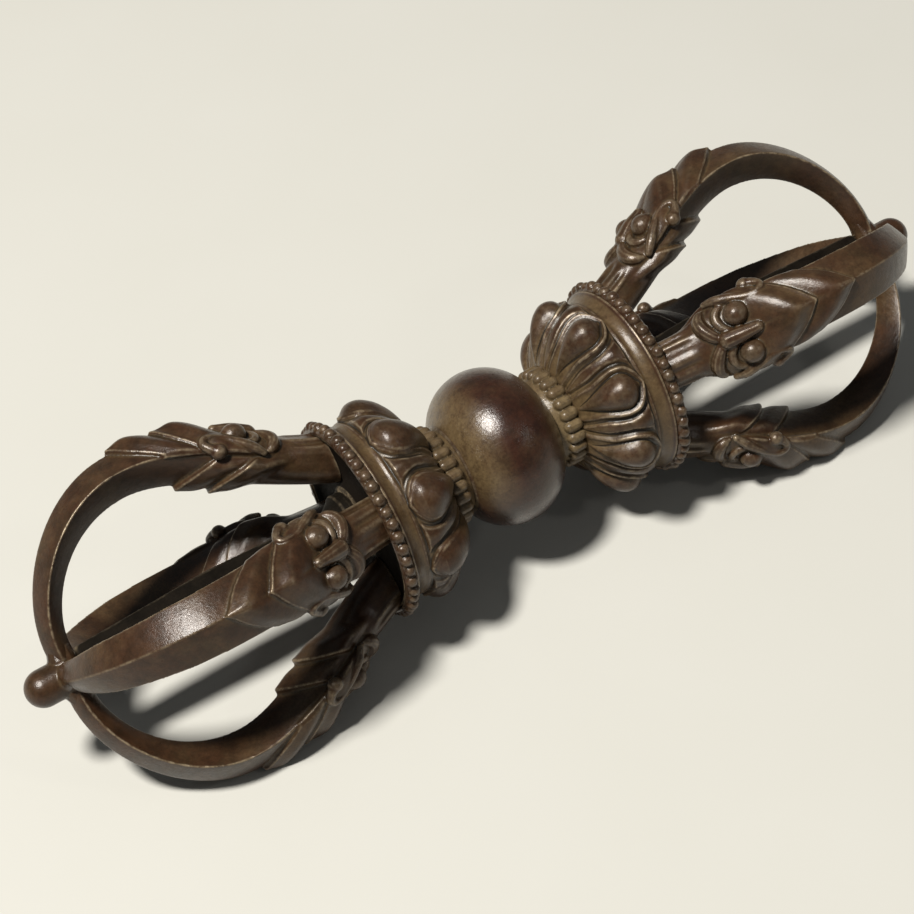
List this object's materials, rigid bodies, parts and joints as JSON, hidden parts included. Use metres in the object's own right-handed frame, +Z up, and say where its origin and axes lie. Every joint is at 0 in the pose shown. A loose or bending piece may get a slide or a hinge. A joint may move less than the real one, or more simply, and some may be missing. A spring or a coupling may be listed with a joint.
{
  "type": "dorje vajra",
  "caption": "Symmetrical bronze ritual sceptre: a central orb between lotus cups, with curved makara-headed prongs that close over a centre prong into a rounded tip at each end.",
  "frame": {"origin": "centre of the orb, half way along the sceptre", "axes": "+X along the sceptre towards its right end, +Z up when it lies on two prongs at each end"},
  "size_m": [0.159, 0.0386, 0.0386],
  "materials": {
    "orb_bronze": "reddish brown patina, polished by handling",
    "neck_bronze": "olive brown tarnish with worn ribs",
    "lotus_bronze": "brown patina, olive in the recesses",
    "bead_bronze": "dark brown patina with bright worn beads",
    "plate_bronze": "dark unpolished patina",
    "prong_bronze": "dark brown patina, satin, with worn ridges",
    "inner_bronze": "dark unpolished patina"
  },
  "bodies": {
    "root": {"tie_rod": "inner_bronze", "orb": "orb_bronze", "neck_ring_left": "neck_bronze", "lotus_cup_left": "lotus_bronze", "bead_ring_left": "bead_bronze", "prong_plate_left": "plate_bronze", "centre_prong_left": "inner_bronze", "tip_cap_left": "prong_bronze", "neck_ring_right": "neck_bronze", "lotus_cup_right": "lotus_bronze", "bead_ring_right": "bead_bronze", "prong_plate_right": "plate_bronze", "centre_prong_right": "inner_bronze", "tip_cap_right": "prong_bronze", "prong_left_upper_front": "prong_bronze", "prong_left_upper_back": "prong_bronze", "prong_left_lower_front": "prong_bronze", "prong_left_lower_back": "prong_bronze", "prong_right_upper_front": "prong_bronze", "prong_right_upper_back": "prong_bronze", "prong_right_lower_front": "prong_bronze", "prong_right_lower_back": "prong_bronze"}
  },
  "joints": []
}
